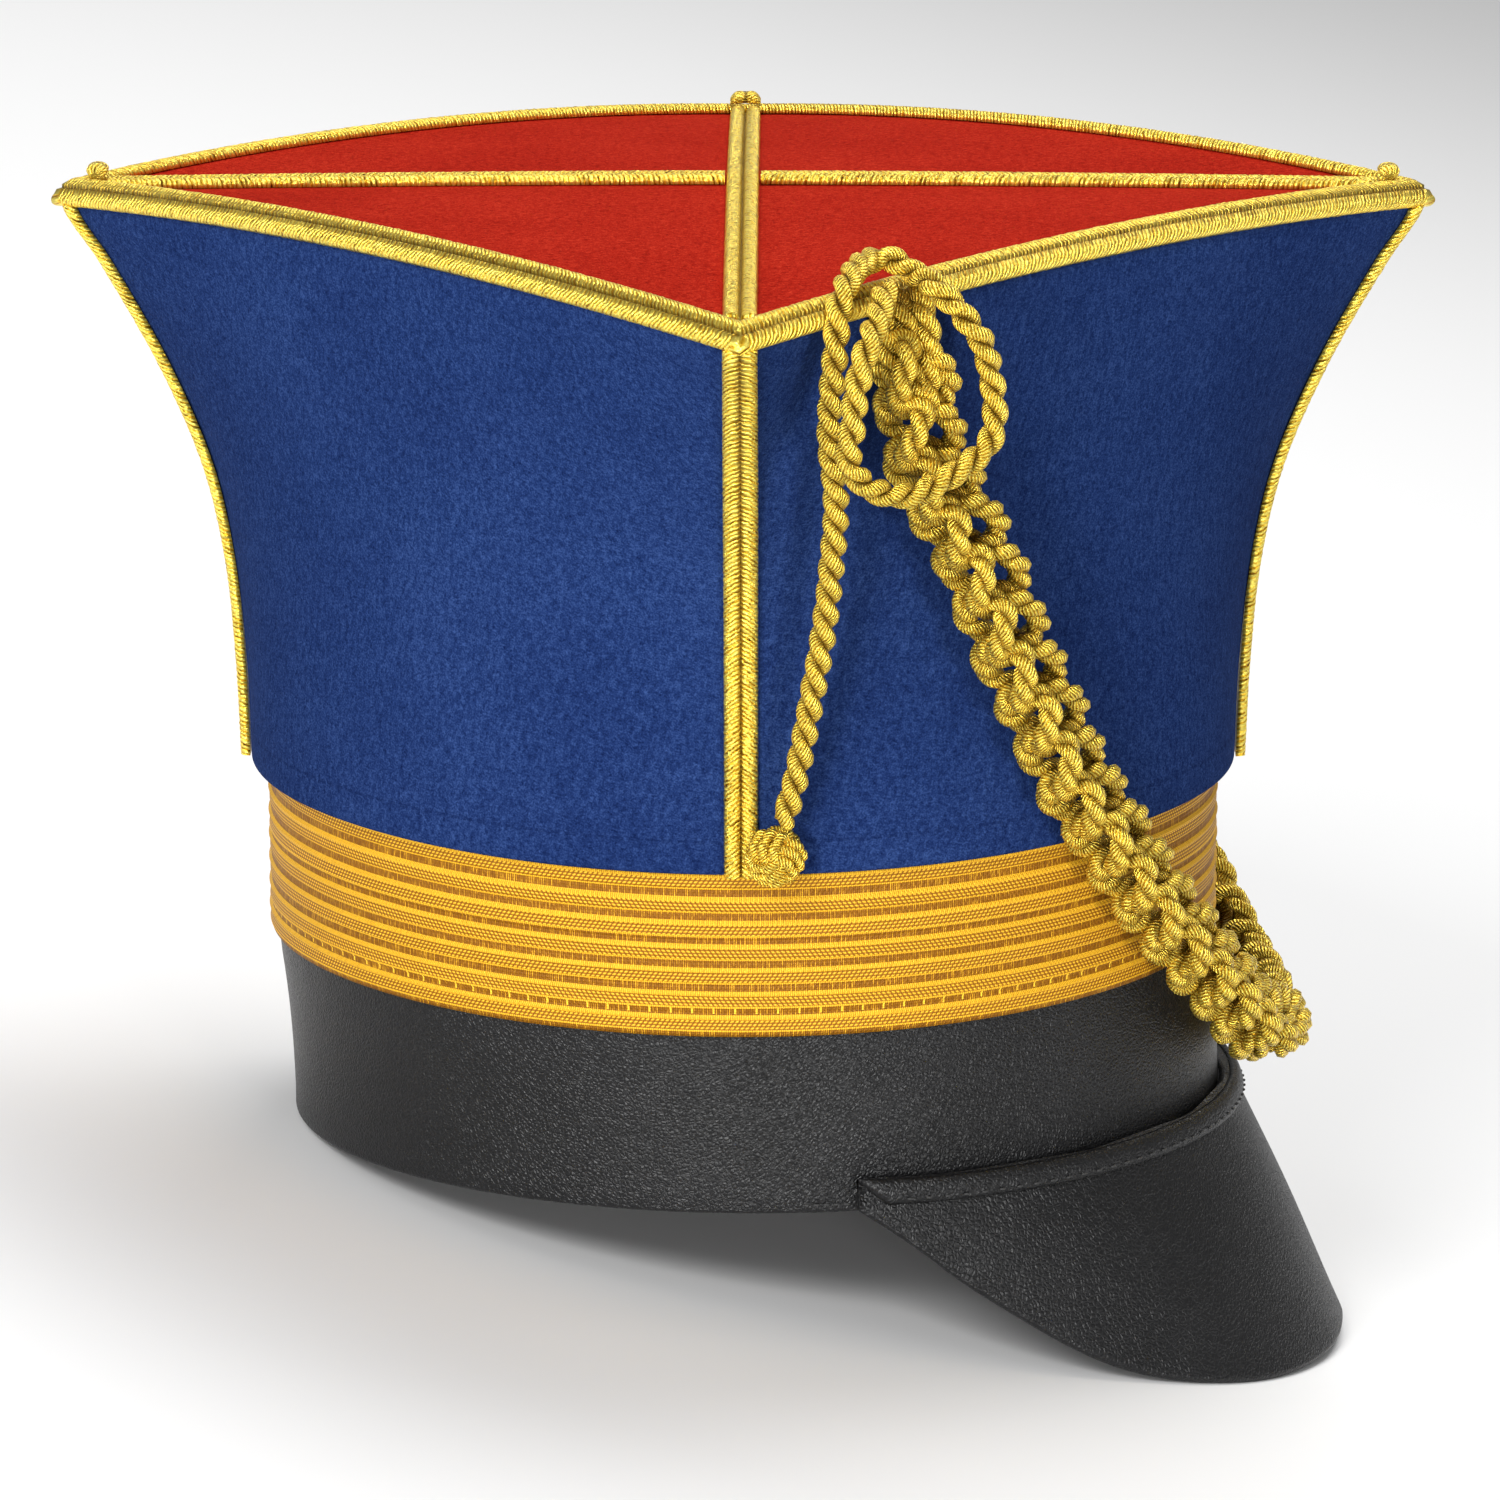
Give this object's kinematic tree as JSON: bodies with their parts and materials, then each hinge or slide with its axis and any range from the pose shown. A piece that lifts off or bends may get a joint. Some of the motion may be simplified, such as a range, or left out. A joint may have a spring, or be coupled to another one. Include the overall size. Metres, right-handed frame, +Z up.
{
  "type": "shako hat",
  "caption": "Square-topped shako: waisted blue felt crown, red top, gilt braid, ribbed ribbon band, black leather headband and peak, twisted cord and plaited festoon.",
  "frame": {"origin": "centre of the base of the hat's box, cords left out, on the surface that it rests on", "axes": "+X the way the peak points, +Y the wearer's left, +Z up; the hat is tilted back as it rests by itself"},
  "size_m": [0.324, 0.2924, 0.2515],
  "materials": {
    "blue_felt": "wool felt with a short nap",
    "red_felt": "wool felt with a short nap",
    "gilt_braid": "ribbed braid of gilt thread",
    "gold_ribbon": "ribbed silk ribbon, satin between the ribs",
    "black_leather": "fine-grained, half gloss",
    "gilt_cord": "cord wrapped with gilt thread"
  },
  "bodies": {
    "root": {"felt_panel_front_left": "blue_felt", "felt_panel_rear_left": "blue_felt", "felt_panel_rear_right": "blue_felt", "felt_panel_front_right": "blue_felt", "felt_top": "red_felt", "rim_braid": "gilt_braid", "corner_braid_front": "gilt_braid", "corner_braid_left": "gilt_braid", "corner_braid_rear": "gilt_braid", "corner_braid_right": "gilt_braid", "top_braid_side": "gilt_braid", "top_braid_front": "gilt_braid", "top_braid_rear": "gilt_braid", "braid_roll_front": "gilt_braid", "braid_roll_left": "gilt_braid", "braid_roll_rear": "gilt_braid", "headband": "black_leather", "ribbon_band": "gold_ribbon", "peak": "black_leather", "peak_welt": "black_leather", "twisted_cord": "gilt_cord", "cord_knot": "gilt_cord", "plaited_festoon": "gilt_cord"}
  },
  "joints": []
}
